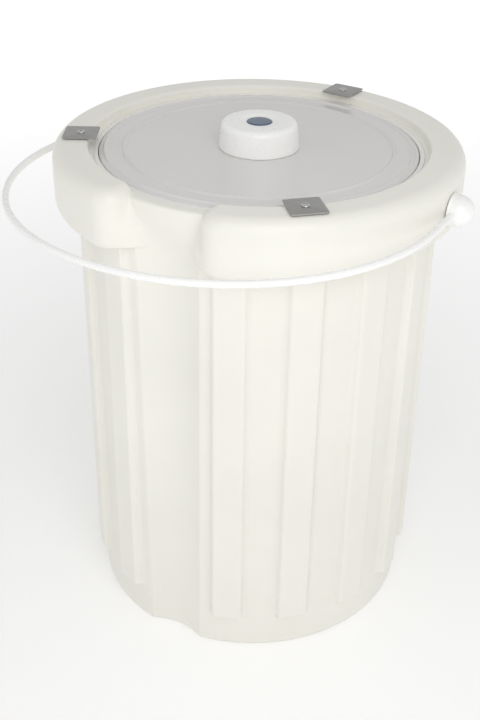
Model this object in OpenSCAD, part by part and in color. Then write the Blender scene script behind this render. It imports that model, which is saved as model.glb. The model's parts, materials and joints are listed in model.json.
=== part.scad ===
// Insulated fermenting bucket with a drop-in lid, three swivel clips and a wire bail.
// Origin: centre of the base, on the surface it stands on. +Z up, the pour recess faces -Y,
// the bail turns about an axis parallel to X.

/* [Vessel] */
// Height from the base to the top of the collar
vessel_h = 433.5; // [380:0.5:500]
// Distance from the rim's skirt to the outside of the wall under the collar
neck_w = 9.95; // [9:0.05:16]
// How much smaller the wall is at the base than under the collar
wall_taper = 2.2; // [0:0.1:4]
// Thickness of every moulded outer wall
shell_wall = 3; // [2:0.1:4]
// Gap between the foam filling and the walls around it
foam_gap = 0.5; // [0.3:0.1:1.5]
// Radius of the rounded bottom edge
base_edge_r = 3; // [1.5:0.1:5]
// Width of the ring that the bucket stands on
foot_ring_w = 16; // [10:1:24]
// Width of the groove inside that ring
foot_groove_w = 14; // [8:1:24]
// Depth of that groove
foot_groove_depth = 3; // [1:0.5:5]

/* [Collar] */
// How far the collar stands out from the wall under it
collar_w = 23.4; // [20:0.1:40]
// Height of the collar
collar_h = 50; // [44:0.5:70]
// Radius of the collar's upper outer edge
collar_top_edge_r = 11; // [4:0.5:14]
// Radius of the collar's lower outer edge
collar_low_edge_r = 9; // [4:0.5:12]
// Width of the shell's part of the rim
step_w = 3.75; // [3:0.05:6]
// Depth of that step
step_h = 7.5; // [5:0.1:10]
// Rounding of the step
step_edge_r = 2.6; // [1:0.1:3]

/* [Ribs] */
// Number of ribs
rib_count = 15; // [9:1:17]
// Angle from the recess to the first rib on each side
rib_first_angle = 20.4; // [18:0.1:24]
// How far the flat face of a rib stands out from the wall at the base
rib_h = 6.9; // [5:0.1:10]
// Width of a rib's flat face
rib_face_w = 25; // [18:0.5:30]
// Extra width of a rib where it meets the wall
rib_flare = 5; // [2:0.5:8]
// Height of the ribs' lower ends above the base
rib_low_z = 36; // [20:1:80]

/* [Recess] */
// Half of the width of the recess in the collar
recess_half_w = 33; // [28:0.5:42]
// How far the wall behind the recess stands out from the wall under the collar
recess_back_w = 0.4; // [0:0.1:3]
// Radius of the rounded corners at the back of the recess
recess_corner_r = 18; // [8:0.5:22]
// Radius of the rounded lobe ends beside the recess
lobe_end_r = 24; // [12:0.5:26]
// Depth of the channel down the wall, from the wall behind the recess
channel_depth = 11; // [6:0.1:12]
// Radius of that channel's cross section
channel_r = 55; // [45:1:70]
// Height over which the channel runs out behind the recess
channel_runout_h = 42; // [36:1:110]

/* [Liner] */
// Inner radius of the liner at its mouth, from which all the rims outside it follow
mouth_r = 124; // [104:0.5:160]
// How much smaller the liner is at its floor than at its mouth
liner_taper = 11; // [8:0.5:20]
// Thickness of the liner
liner_wall = 3; // [2:0.1:4]
// Height of the liner's floor above the base
floor_z = 23; // [18:1:40]
// Rounding between the liner's wall and floor
floor_edge_r = 12; // [6:1:20]
// Depth of the lid seat below the rim
seat_depth = 12; // [10:0.5:16]
// Width of the liner's part of the rim
rim_w = 3.3; // [2.6:0.1:3.6]
// Gap in the joint between the liner and the shell
seam_gap = 0.15; // [0.1:0.05:0.3]

/* [Lid] */
// How far the lid reaches over the seat around the mouth
lid_overlap = 9; // [7:0.1:14]
// Gap between the lid's edge and the rim
lid_gap = 1.2; // [0.8:0.1:2]
// Thickness of the lid's flange
flange_t = 8; // [6:0.5:9]
// Rounding of the flange's upper edge
flange_edge_r = 2; // [1:0.1:3]
// Thickness of the lid's skins
lid_wall = 3; // [2:0.1:4]
// Depth of the lid's plug below the flange
plug_depth = 27; // [15:1:60]
// Gap between the lid's plug and the mouth
plug_gap = 4; // [3:0.5:10]
// Height of the middle disc above the flange
disc_rise = 0.6; // [0.2:0.1:1.5]
// Distance from the lid's edge to the inner bead
inner_bead_inset = 20.7; // [16:0.1:40]
// Distance from the lid's edge to the outer bead
outer_bead_inset = 5; // [5:0.1:9]
// Width of a bead
bead_w = 5; // [3:0.1:6]
// Height of a bead above the disc
bead_h = 1.6; // [0.8:0.1:2.5]
// Width of the lid's gasket
gasket_w = 5; // [3:0.5:6]

/* [Knob] */
// Radius of the knob at its foot
knob_foot_r = 34; // [24:0.5:40]
// How much smaller the knob is at its top than at its foot
knob_draft = 2.5; // [1:0.5:5]
// Height of the knob
knob_h = 21.8; // [16:0.1:32]
// Rounding of the knob's upper edge
knob_edge_r = 5; // [2:0.5:7]
// Width of the dished ring around the inlay
knob_dish_w = 5; // [2:0.1:7]
// Depth of that dish
knob_dish_depth = 0.8; // [0.4:0.1:1.5]
// Radius of the coloured inlay
inlay_r = 10.6; // [8:0.1:12]
// Thickness of the coloured inlay
inlay_t = 2.4; // [1.5:0.1:4]
// Thread radius of the knob's bolt
knob_bolt_r = 4; // [3:0.5:5]

/* [Clips] */
// Directions of the three clips, counted from the recess towards +X
clip_angles = [41.5, 177, 298];
// Side of a clip's square plate
clip_side = 28.4; // [22:0.2:29]
// Thickness of a clip's plate
clip_t = 1.2; // [0.8:0.1:2]
// Rounding of the plate's corners
clip_corner_r = 1.6; // [0.8:0.1:4]
// Free gap between a clip's inner edge and the lid's edge
clip_lid_gap = 1; // [0.6:0.1:2]
// Radius of a clip screw's shoulder
clip_screw_r = 2; // [1.5:0.1:2.5]
// Radius of a clip screw's head
clip_head_r = 3.4; // [3:0.1:4.5]
// Height of a clip screw's head
clip_head_h = 1.6; // [1:0.1:2.5]
// Thickness of the washer under a clip
clip_washer_t = 0.8; // [0.5:0.1:1.5]
// Length of a clip's threaded insert
insert_h = 10; // [7:0.5:13]
// Wall of a clip's threaded insert
insert_wall = 1.6; // [1:0.1:2.5]

/* [Bail] */
// Depth of the bail's pivot below the top of the collar
pivot_drop = 26; // [23:0.5:30]
// Gap between the collar and the middle of the bail's legs
bail_gap = 5; // [4:0.1:10]
// Length of the bail's straight legs
leg_l = 53; // [40:0.5:90]
// Rise of the bail above level as it rests, in degrees
bail_tilt = 1; // [-4:0.5:6]
// Radius of the bail's steel wire
wire_r = 2; // [1.5:0.1:2.2]
// Thickness of the bail's plastic coating
coating_t = 0.9; // [0.5:0.1:1.5]
// Radius of the domed end caps
cap_r = 14; // [11:0.5:16]
// Height of the domed end caps off the collar
cap_h = 18.6; // [15:0.2:24]
// Depth of a pivot pin inside the collar
pin_depth = 13; // [8:0.5:15]

/* [Hidden] */
$fn = 96;
// Radial clearance of every turning fit
run_gap = 0.05;
// Gap under a plastic that is moulded round steel
skin_gap = 0.02;
// Gap between parts that slide past each other
slide_gap = 0.4;
// Small extra length that makes a cut run through
cut = 1;

// Levels
collar_low_z = vessel_h - collar_h;
rim_z = vessel_h - step_h;
seat_z = rim_z - seat_depth;
flange_low_z = rim_z - flange_t;
disc_z = rim_z + disc_rise;
plug_low_z = flange_low_z - plug_depth;
pivot_z = vessel_h - pivot_drop;
channel_top_z = rim_z - 8;

// Radii, from the mouth outwards
floor_r = mouth_r - liner_taper;
lid_r = mouth_r + lid_overlap;
seat_r = lid_r + lid_gap;
liner_rim_r = seat_r + rim_w;
skirt_r = liner_rim_r + seam_gap;
step_r = skirt_r + step_w;
neck_r = skirt_r + neck_w;
base_r = neck_r - wall_taper;
collar_r = neck_r + collar_w;
recess_back_r = neck_r + recess_back_w;
channel_floor_r = recess_back_r - channel_depth;
foot_r = base_r - base_edge_r;
groove_out_r = foot_r - foot_ring_w - foot_groove_depth;
groove_in_r = groove_out_r - foot_groove_w;

// Middles of the recess's round lobe ends and of the fillets beside them
nose_d = collar_r - lobe_end_r;
nose_x = recess_half_w + lobe_end_r;
nose_y = -sqrt(nose_d * nose_d - nose_x * nose_x);
fillet_d = recess_back_r + recess_corner_r;
nose_to_fillet = lobe_end_r + recess_corner_r;
fillet_turn = acos((fillet_d * fillet_d + nose_d * nose_d - nose_to_fillet * nose_to_fillet)
                   / (2 * fillet_d * nose_d));
fillet_angle = asin(nose_x / nose_d) - fillet_turn;
fillet_x = fillet_d * sin(fillet_angle);
fillet_y = -fillet_d * cos(fillet_angle);

// Liner and rim
skirt_low_z = seat_z - liner_wall;
rim_fillet_r = min(step_edge_r, step_r - skirt_r - 0.4) * 0.8;

// Ribs
rib_step = (360 - 2 * rib_first_angle) / (rib_count - 1);
rib_face_r = base_r + rib_h;
rib_root_r = base_r - 6;

// Lid
plug_r = mouth_r - plug_gap;
plug_wall_r = plug_r - lid_wall;
inner_bead_r = lid_r - inner_bead_inset;
outer_bead_r = lid_r - outer_bead_inset;
gasket_mid_r = (mouth_r + lid_r) / 2;
knob_top_r = knob_foot_r - knob_draft;
knob_dish_r = inlay_r + knob_dish_w;
knob_foot_z = disc_z;
knob_top_z = knob_foot_z + knob_h;
bolt_top_z = knob_foot_z + knob_h * 0.55;
nut_insert_r = knob_bolt_r + 2.6;
knob_boss_r = nut_insert_r + 4;
bolt_head_r = knob_bolt_r * 1.8;
bolt_head_h = knob_bolt_r * 0.9;
knob_washer_r = bolt_head_r + 4;
knob_washer_t = 1.5;

// Clips
clip_pivot_r = lid_r + clip_lid_gap + clip_side / 2;
clip_low_z = vessel_h + clip_washer_t;
clip_head_z = clip_low_z + clip_t + run_gap;
insert_r = clip_screw_r + run_gap + insert_wall;
clip_washer_r = insert_r + 2.2;
clip_boss_r = insert_r + 2.4;
insert_low_z = vessel_h - insert_h;
boss_low_z = insert_low_z - 3;

// Bail
coating_r = wire_r + coating_t;
bail_half_w = collar_r + bail_gap;
cap_face_x = collar_r + slide_gap;
bush_r = wire_r + run_gap + 2.4;
bush_flange_r = bush_r + 3;
bush_flange_t = 1;
bush_face_x = collar_r + 0.15;
pin_end_x = collar_r - pin_depth;
bush_end_x = pin_end_x - 3;
ear_boss_r = bush_r + 3;
ear_boss_end_x = bush_end_x - 3;
// The bow is a half circle between two straight legs
bow_r = bail_half_w;
// The elbow turns each leg inwards into its pivot pin, inside the end cap
elbow_r = bail_half_w - cap_face_x;
coating_start = elbow_r + 0.5;
// The vent hole in the face of the left lobe end
vent_angle = 28;
vent_z = collar_low_z + 11.5;
vent_r = 1.6;

// ---- Outlines -------------------------------------------------------------

// Points of an arc about (cx, cy), from angle a0 to angle a1
function arc(cx, cy, r, a0, a1, n = 8) =
    [for (i = [0:n]) let (a = a0 + (a1 - a0) * i / n) [cx + r * cos(a), cy + r * sin(a)]];

// Outer outline of the shell, as if it were solid, moved in by g
function shell_outline(g) = concat(
    [[0, g]],
    [[groove_in_r - foot_groove_depth + g / 2, g]],
    [[groove_in_r + g / 2, foot_groove_depth + g]],
    [[groove_out_r - g / 2, foot_groove_depth + g]],
    [[groove_out_r + foot_groove_depth - g / 2, g]],
    arc(foot_r, base_edge_r, max(base_edge_r - g, 0.2), -90, 0),
    [[neck_r - g, collar_low_z + g]],
    arc(collar_r - collar_low_edge_r, collar_low_z + collar_low_edge_r,
        collar_low_edge_r - g, -90, 0),
    arc(collar_r - collar_top_edge_r, vessel_h - collar_top_edge_r,
        collar_top_edge_r - g, 0, 90)
);

// The inner edge of the collar, down to the rim and the skirt
function rim_outline() = concat(
    arc(step_r + step_edge_r, vessel_h - step_edge_r, step_edge_r, 90, 180, 5),
    arc(step_r - rim_fillet_r, rim_z + rim_fillet_r, rim_fillet_r, 0, -90, 4),
    [[skirt_r, rim_z], [skirt_r, skirt_low_z], [0, skirt_low_z]]
);

// The same edge seen from inside the wall
function rim_cavity_outline(g) = [
    [step_r + g, vessel_h - g],
    [step_r + g, rim_z],
    [skirt_r + g, rim_z - g],
    [skirt_r + g, skirt_low_z - g],
    [0, skirt_low_z - g]
];

// ---- Shared solids --------------------------------------------------------

// One rib, its faces moved in by g
module rib(g) {
    half_face = rib_face_w / 2 - g;
    half_root = half_face + rib_flare;
    low = rib_low_z + g;
    translate([0, 0, low])
        linear_extrude(collar_low_z + shell_wall + 2 - low)
            polygon([
                [-half_root, -rib_root_r],
                [-half_face, -rib_face_r + g],
                [half_face, -rib_face_r + g],
                [half_root, -rib_root_r]
            ]);
}

module ribs(g) {
    for (i = [0:rib_count - 1])
        rotate([0, 0, rib_first_angle + i * rib_step])
            rib(g);
}

// Plan of the recess in the collar below the rim, its walls moved out by g
module recess_plan(g) {
    out = (collar_r + 40) / nose_d;
    start = (recess_back_r - 20) / fillet_d;
    difference() {
        polygon([
            [start * fillet_x, start * fillet_y],
            [fillet_x, fillet_y],
            [nose_x, nose_y],
            [out * nose_x, out * nose_y],
            [-out * nose_x, out * nose_y],
            [-nose_x, nose_y],
            [-fillet_x, fillet_y],
            [-start * fillet_x, start * fillet_y]
        ]);
        noses(g);
        circle(recess_back_r - g);
    }
    for (s = [-1, 1])
        translate([s * fillet_x, fillet_y])
            circle(recess_corner_r + g);
}

// Plan of the recess above the rim
module recess_top_plan(g) {
    out = (collar_r + 40) / nose_d;
    difference() {
        polygon([
            [nose_x, 20 - skirt_r],
            [nose_x, nose_y],
            [out * nose_x, out * nose_y],
            [-out * nose_x, out * nose_y],
            [-nose_x, nose_y],
            [-nose_x, 20 - skirt_r]
        ]);
        noses(g);
        circle(skirt_r + 0.6 + g);
    }
}

// The round ends of the collar beside the recess
module noses(g) {
    for (s = [-1, 1])
        translate([s * nose_x, nose_y])
            circle(lobe_end_r - g);
}

// All that the recess and its channel take away, their walls moved out by g
module recess(g) {
    translate([0, 0, collar_low_z - cut])
        linear_extrude(collar_h + 3)
            recess_plan(g);
    translate([0, 0, rim_z - g])
        linear_extrude(step_h + g + cut)
            recess_top_plan(g);
    // down the wall
    channel_y = -(channel_floor_r + channel_r);
    runout_z = channel_top_z - channel_runout_h;
    runout_r = channel_r - (recess_back_r - channel_floor_r);
    translate([0, channel_y, -cut])
        cylinder(r = channel_r + g, h = runout_z + cut);
    translate([0, channel_y, runout_z])
        cylinder(r1 = channel_r + g, r2 = runout_r + g, h = channel_runout_h);
}

// Place something at each clip's direction
module at_clip(i) {
    rotate([0, 0, clip_angles[i]])
        translate([0, -clip_pivot_r, 0])
            children();
}

// Turn something that lies along +X to the ear on side s
module at_ear(s) {
    translate([0, 0, pivot_z])
        rotate([0, 0, s > 0 ? 0 : 180])
            rotate([0, 90, 0])
                children();
}

// Bosses that hold the inserts, the bushes and the vent plug, inside the shell
module bosses(extra) {
    for (i = [0:2])
        at_clip(i)
            translate([0, 0, boss_low_z - extra])
                cylinder(r = clip_boss_r + extra, h = vessel_h - boss_low_z + extra);
    for (s = [-1, 1])
        at_ear(s)
            translate([0, 0, ear_boss_end_x - extra])
                cylinder(r = ear_boss_r + extra, h = collar_r - ear_boss_end_x + extra);
}

// The space between the shell and the liner, g inside the shell's outer face
module cavity(g) {
    difference() {
        union() {
            rotate_extrude($fn = 180)
                polygon(concat(shell_outline(g), rim_cavity_outline(g)));
            ribs(g);
        }
        recess(g);
    }
}

// Turn something that lies along +Z inwards from the face of the left lobe end
module at_vent() {
    translate([-nose_x, nose_y, vent_z])
        rotate([0, 0, vent_angle])
            translate([0, -lobe_end_r, 0])
                rotate([-90, 0, 0])
                    children();
}

// ---- Vessel ---------------------------------------------------------------

module outer_shell() {
    color("ivory")
        difference() {
            union() {
                rotate_extrude($fn = 180)
                    polygon(concat(shell_outline(0), rim_outline()));
                ribs(0);
            }
            recess(0);
            difference() {
                cavity(shell_wall);
                bosses(0);
            }
            translate([0, 0, skirt_low_z - shell_wall - cut])
                cylinder(r = skirt_r, h = vessel_h - skirt_low_z + shell_wall + 2 * cut);
            for (i = [0:2])
                at_clip(i)
                    translate([0, 0, insert_low_z])
                        cylinder(r = insert_r, h = insert_h + cut);
            for (s = [-1, 1])
                at_ear(s) {
                    translate([0, 0, bush_end_x])
                        cylinder(r = bush_r, h = collar_r - bush_end_x + cut);
                    translate([0, 0, bush_face_x - bush_flange_t])
                        cylinder(r = bush_flange_r + 0.2, h = bush_flange_t + cut);
                }
            at_vent()
                translate([0, 0, -cut])
                    cylinder(r = vent_r, h = shell_wall + 2 * cut);
        }
}

module inner_liner() {
    wall = liner_wall;
    color("whitesmoke")
        rotate_extrude($fn = 180)
            polygon(concat(
                [[0, floor_z]],
                arc(floor_r - floor_edge_r, floor_z + floor_edge_r, floor_edge_r, -90, 0),
                [[mouth_r, seat_z], [seat_r, seat_z], [seat_r, rim_z - 1]],
                [[seat_r + 0.4, rim_z - 0.3], [seat_r + 1, rim_z]],
                [[liner_rim_r, rim_z], [liner_rim_r, seat_z - wall], [mouth_r + wall, seat_z - wall]],
                arc(floor_r - floor_edge_r, floor_z + floor_edge_r, floor_edge_r + wall, 0, -90),
                [[0, floor_z - wall]]
            ));
}

module foam_filling() {
    g = shell_wall + foam_gap;
    f = liner_wall + foam_gap;
    color("khaki")
        difference() {
            cavity(g);
            bosses(foam_gap);
            at_vent()
                cylinder(r = vent_r + 2, h = 12);
            rotate_extrude($fn = 180)
                polygon(concat(
                    [[0, floor_z - f]],
                    arc(floor_r - floor_edge_r, floor_z + floor_edge_r, floor_edge_r + f, -90, 0),
                    [[mouth_r + f, seat_z - f], [liner_rim_r + f, seat_z - f]],
                    [[liner_rim_r + f, vessel_h], [0, vessel_h]]
                ));
        }
}

module vent_plug() {
    color("dimgray")
        at_vent() {
            translate([0, 0, 0.6])
                cylinder(r = vent_r - 0.05, h = shell_wall + 0.3);
            translate([0, 0, shell_wall + 0.4])
                cylinder(r = vent_r + 1.2, h = 1);
        }
}

// ---- Lid ------------------------------------------------------------------

// The profile of a bead: a low arch that stands on height z
function bead(r, z) =
    [for (i = [0:8]) let (t = i / 8) [r - bead_w / 2 + bead_w * t, z + bead_h * sin(180 * t)]];

module lid_top() {
    skin = lid_wall;
    color("gainsboro")
        difference() {
            rotate_extrude($fn = 180)
                polygon(concat(
                    [[0, disc_z]],
                    bead(inner_bead_r, disc_z),
                    bead(outer_bead_r, disc_z),
                    arc(lid_r - flange_edge_r, rim_z - flange_edge_r, flange_edge_r, 90, 0, 4),
                    [[lid_r, flange_low_z], [plug_wall_r - run_gap, flange_low_z]],
                    [[plug_wall_r - run_gap, flange_low_z - 6]],
                    [[plug_wall_r - run_gap - skin, flange_low_z - 6]],
                    [[plug_wall_r - run_gap - skin, disc_z - skin], [0, disc_z - skin]]
                ));
            translate([0, 0, disc_z - skin - cut])
                cylinder(r = knob_bolt_r + 0.3, h = skin + 2 * cut);
        }
}

module lid_pan() {
    color("whitesmoke")
        difference() {
            translate([0, 0, plug_low_z])
                cylinder(r = plug_r, h = plug_depth, $fn = 180);
            translate([0, 0, plug_low_z + lid_wall])
                cylinder(r = plug_wall_r, h = plug_depth, $fn = 180);
            translate([0, 0, plug_low_z - cut])
                cylinder(r = knob_bolt_r + 0.3, h = lid_wall + 2 * cut);
        }
}

module lid_foam() {
    inner_r = plug_wall_r - run_gap - lid_wall - foam_gap;
    low = plug_low_z + lid_wall + foam_gap;
    high = disc_z - lid_wall - foam_gap;
    color("khaki")
        difference() {
            translate([0, 0, low])
                cylinder(r = inner_r, h = high - low, $fn = 180);
            translate([0, 0, low - cut])
                cylinder(r = knob_bolt_r + 1.5, h = high - low + 2 * cut);
        }
}

module lid_gasket() {
    color("silver")
        translate([0, 0, seat_z])
            difference() {
                cylinder(r = gasket_mid_r + gasket_w / 2, h = flange_low_z - seat_z, $fn = 180);
                translate([0, 0, -cut])
                    cylinder(r = gasket_mid_r - gasket_w / 2, h = flange_low_z - seat_z + 2 * cut,
                             $fn = 180);
            }
}

// ---- Knob -----------------------------------------------------------------

module knob() {
    wall = 4;
    inlay_low_z = knob_top_z - knob_dish_depth - inlay_t + 0.6;
    color("white")
        difference() {
            rotate_extrude()
                polygon(concat(
                    [[0, knob_foot_z], [knob_foot_r - 1, knob_foot_z], [knob_foot_r, knob_foot_z + 1]],
                    arc(knob_top_r - knob_edge_r, knob_top_z - knob_edge_r, knob_edge_r, 4, 90),
                    [[knob_dish_r + 1, knob_top_z], [knob_dish_r - 0.6, knob_top_z - knob_dish_depth]],
                    [[0, knob_top_z - knob_dish_depth]]
                ));
            // hollow underside around the boss
            difference() {
                translate([0, 0, knob_foot_z - cut])
                    cylinder(r1 = knob_foot_r - wall, r2 = knob_top_r - wall - 1.5,
                             h = knob_h - knob_edge_r - inlay_t + cut);
                translate([0, 0, knob_foot_z - cut])
                    cylinder(r = knob_boss_r, h = knob_h);
            }
            translate([0, 0, knob_foot_z - cut])
                cylinder(r = nut_insert_r, h = bolt_top_z - knob_foot_z + 1 + cut);
            translate([0, 0, inlay_low_z])
                cylinder(r = inlay_r, h = inlay_t + cut);
        }
}

module knob_inlay() {
    inlay_low_z = knob_top_z - knob_dish_depth - inlay_t + 0.6;
    color("steelblue")
        translate([0, 0, inlay_low_z])
            rotate_extrude()
                polygon([
                    [0, 0], [inlay_r - 0.1, 0], [inlay_r - 0.1, inlay_t - 0.4],
                    [inlay_r - 0.5, inlay_t], [0, inlay_t]
                ]);
}

module knob_nut_insert() {
    color("goldenrod")
        translate([0, 0, knob_foot_z])
            difference() {
                cylinder(r = nut_insert_r - 0.05, h = bolt_top_z - knob_foot_z + 0.5);
                translate([0, 0, -cut])
                    cylinder(r = knob_bolt_r + run_gap, h = knob_h);
            }
}

module knob_bolt() {
    head_z = plug_low_z - knob_washer_t;
    color("lightgray")
        difference() {
            union() {
                translate([0, 0, head_z - bolt_head_h])
                    cylinder(r = bolt_head_r, h = bolt_head_h);
                translate([0, 0, head_z])
                    cylinder(r = knob_bolt_r, h = bolt_top_z - head_z);
            }
            translate([0, 0, head_z - bolt_head_h - cut])
                cylinder(r = knob_bolt_r * 0.75, h = bolt_head_h * 0.6 + cut, $fn = 6);
        }
}

module knob_washer() {
    color("silver")
        translate([0, 0, plug_low_z - knob_washer_t])
            difference() {
                cylinder(r = knob_washer_r, h = knob_washer_t);
                translate([0, 0, -cut])
                    cylinder(r = knob_bolt_r + 0.2, h = knob_washer_t + 2 * cut);
            }
}

// ---- Clips ----------------------------------------------------------------

module clip_plate(i) {
    side = clip_side - 2 * clip_corner_r;
    color("darkgray")
        at_clip(i)
            translate([0, 0, clip_low_z])
                linear_extrude(clip_t)
                    difference() {
                        union() {
                            square([side, clip_side], center = true);
                            square([clip_side, side], center = true);
                            for (x = [-1, 1], y = [-1, 1])
                                translate([x * side / 2, y * side / 2])
                                    circle(clip_corner_r);
                        }
                        circle(clip_screw_r + run_gap);
                    }
}

module clip_screw(i) {
    shank = insert_h - 1;
    color("lightgray")
        at_clip(i)
            difference() {
                union() {
                    translate([0, 0, vessel_h - shank])
                        cylinder(r = clip_screw_r, h = clip_head_z - vessel_h + shank);
                    translate([0, 0, clip_head_z])
                        rotate_extrude()
                            polygon([
                                [0, 0], [clip_head_r, 0], [clip_head_r, clip_head_h * 0.4],
                                [clip_head_r * 0.86, clip_head_h * 0.75],
                                [clip_head_r * 0.55, clip_head_h], [0, clip_head_h]
                            ]);
                }
                for (a = [0, 90])
                    rotate([0, 0, a])
                        translate([-clip_head_r * 0.55, -0.4, clip_head_z + clip_head_h * 0.45])
                            cube([clip_head_r * 1.1, 0.8, clip_head_h]);
            }
}

module clip_washer(i) {
    color("white")
        at_clip(i)
            translate([0, 0, vessel_h])
                difference() {
                    cylinder(r = clip_washer_r, h = clip_washer_t);
                    translate([0, 0, -cut])
                        cylinder(r = clip_screw_r + run_gap, h = clip_washer_t + 2 * cut);
                }
}

module clip_insert(i) {
    color("goldenrod")
        at_clip(i)
            translate([0, 0, insert_low_z])
                difference() {
                    cylinder(r = insert_r - 0.05, h = insert_h);
                    translate([0, 0, -cut])
                        cylinder(r = clip_screw_r + run_gap, h = insert_h + 2 * cut);
                }
}

// ---- Bail -----------------------------------------------------------------

// Stand the bail's plane at its resting angle: inside it, X runs along the axis and -Y forward
module bail_frame() {
    translate([0, 0, pivot_z])
        rotate([-bail_tilt, 0, 0])
            children();
}

// The bow and legs as a round bar of radius r, with the legs starting at distance from the axis
module bail_bar(r, start) {
    translate([0, -leg_l, 0])
        rotate([0, 0, 180])
            rotate_extrude(angle = 180, $fn = 120)
                translate([bow_r, 0])
                    circle(r, $fn = 32);
    for (s = [-1, 1])
        translate([s * bail_half_w, -start, 0])
            rotate([90, 0, 0])
                cylinder(r = r, h = leg_l - start, $fn = 32);
}

// The elbow and pivot pin on side s, as a bar of radius r with the pin's end at x
module bail_end(s, r, x) {
    translate([s * cap_face_x, -elbow_r, 0])
        rotate([0, 0, s > 0 ? 0 : 90])
            rotate_extrude(angle = 90)
                translate([elbow_r, 0])
                    circle(r, $fn = 32);
    translate([s * x, 0, 0])
        rotate([0, s * 90, 0])
            cylinder(r = r, h = cap_face_x - x, $fn = 32);
}

module bail_wire() {
    color("lightgray")
        bail_frame() {
            bail_bar(wire_r, elbow_r);
            for (s = [-1, 1])
                bail_end(s, wire_r, pin_end_x);
        }
}

module bail_coating() {
    color("white")
        bail_frame()
            difference() {
                bail_bar(coating_r, coating_start);
                bail_bar(wire_r + skin_gap, coating_start - cut);
            }
}

module bail_cap(s) {
    rim = cap_h * 0.28;
    dome = cap_h - rim;
    color("white")
        difference() {
            at_ear(s)
                translate([0, 0, cap_face_x])
                    rotate_extrude()
                        polygon(concat(
                            [[0, 0], [cap_r - 0.6, 0], [cap_r, 0.6]],
                            [for (i = [0:12]) let (a = 90 * i / 12)
                                [i == 12 ? 0 : cap_r * cos(a), rim + dome * sin(a)]]
                        ));
            bail_frame() {
                bail_end(s, wire_r + skin_gap, cap_face_x - cut);
                translate([s * bail_half_w, -elbow_r, 0])
                    rotate([90, 0, 0])
                        cylinder(r = wire_r + skin_gap, h = coating_start, $fn = 32);
                translate([s * bail_half_w, -coating_start, 0])
                    rotate([90, 0, 0])
                        cylinder(r = coating_r + skin_gap, h = cap_r, $fn = 32);
            }
        }
}

module ear_bush(s) {
    barrel = bush_face_x - bush_flange_t - bush_end_x;
    color("white")
        at_ear(s)
            translate([0, 0, bush_end_x])
                difference() {
                    union() {
                        cylinder(r = bush_r - 0.05, h = barrel + bush_flange_t);
                        translate([0, 0, barrel])
                            cylinder(r = bush_flange_r, h = bush_flange_t);
                    }
                    translate([0, 0, pin_end_x - bush_end_x - cut])
                        cylinder(r = wire_r + run_gap, h = pin_depth + 2 * cut);
                }
}

outer_shell();
inner_liner();
foam_filling();
vent_plug();
lid_top();
lid_pan();
lid_foam();
lid_gasket();
knob();
knob_inlay();
knob_nut_insert();
knob_bolt();
knob_washer();
clip_plate(0);  // clip_plate_front
clip_plate(1);  // clip_plate_back
clip_plate(2);  // clip_plate_left
clip_screw(0);  // clip_screw_front
clip_screw(1);  // clip_screw_back
clip_screw(2);  // clip_screw_left
clip_washer(0);  // clip_washer_front
clip_washer(1);  // clip_washer_back
clip_washer(2);  // clip_washer_left
clip_insert(0);  // clip_insert_front
clip_insert(1);  // clip_insert_back
clip_insert(2);  // clip_insert_left
bail_wire();
bail_coating();
bail_cap(1);  // bail_cap_right
bail_cap(-1);  // bail_cap_left
ear_bush(1);  // ear_bush_right
ear_bush(-1);  // ear_bush_left
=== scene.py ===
import json
import math

import bmesh
import bpy
import numpy as np
from mathutils import Matrix, Vector

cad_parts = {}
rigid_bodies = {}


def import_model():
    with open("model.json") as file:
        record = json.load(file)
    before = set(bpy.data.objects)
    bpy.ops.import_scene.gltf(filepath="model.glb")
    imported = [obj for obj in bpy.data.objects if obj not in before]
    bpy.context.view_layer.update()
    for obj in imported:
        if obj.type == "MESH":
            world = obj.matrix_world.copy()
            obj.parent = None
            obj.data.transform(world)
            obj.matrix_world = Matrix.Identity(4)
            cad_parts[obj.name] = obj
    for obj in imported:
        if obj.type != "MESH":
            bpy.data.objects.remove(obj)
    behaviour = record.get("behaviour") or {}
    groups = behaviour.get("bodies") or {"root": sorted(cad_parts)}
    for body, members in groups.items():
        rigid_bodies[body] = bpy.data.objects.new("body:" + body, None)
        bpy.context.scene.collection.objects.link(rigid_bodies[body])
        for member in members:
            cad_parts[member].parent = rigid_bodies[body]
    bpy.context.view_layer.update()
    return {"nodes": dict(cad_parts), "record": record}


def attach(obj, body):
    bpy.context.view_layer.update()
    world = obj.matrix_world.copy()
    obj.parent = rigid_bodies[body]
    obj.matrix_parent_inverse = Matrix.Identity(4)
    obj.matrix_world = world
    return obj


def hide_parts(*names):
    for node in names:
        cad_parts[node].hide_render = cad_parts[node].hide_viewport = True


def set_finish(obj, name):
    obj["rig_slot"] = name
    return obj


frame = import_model()

MM = 0.001

# ---- Sizes in mm, as in the design, but for seat_r and cap_r, which follow the photo -----
vessel_h = 433.5
collar_low_z = 383.5
rim_z = 426.0
seat_z = 414.0
flange_low_z = 418.0
disc_z = 426.6
plug_low_z = 391.0
pivot_z = 407.5
base_r = 145.4
neck_r = 147.6
shell_wall = 3.0
base_edge_r = 3.0
foot_groove_depth = 3.0
groove_out_r = 123.4
groove_in_r = 109.4
collar_r = 171.0
collar_top_edge_r = 11.0
collar_low_edge_r = 9.0
step_r = 141.4
skirt_r = 137.65
liner_rim_r = 137.5
seat_r = 133.6
mouth_r = 124.0
floor_r = 113.0
floor_z = 23.0
floor_edge_r = 12.0
liner_wall = 3.0
rib_count = 15
rib_first_angle = 20.4
rib_step = (360 - 2 * rib_first_angle) / (rib_count - 1)
rib_face_r = 152.3
rib_half_face = 12.5
rib_flare = 5.0
rib_low_z = 36.0
recess_half_w = 33.0
recess_back_r = 148.0
recess_corner_r = 18.0
lobe_end_r = 24.0
channel_floor_r = 137.0
channel_r = 55.0
channel_fade_z = (378.0, 420.0)
lid_r = 133.0
plug_r = 120.0
lid_wall = 3.0
inner_bead_r = 112.3
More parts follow.
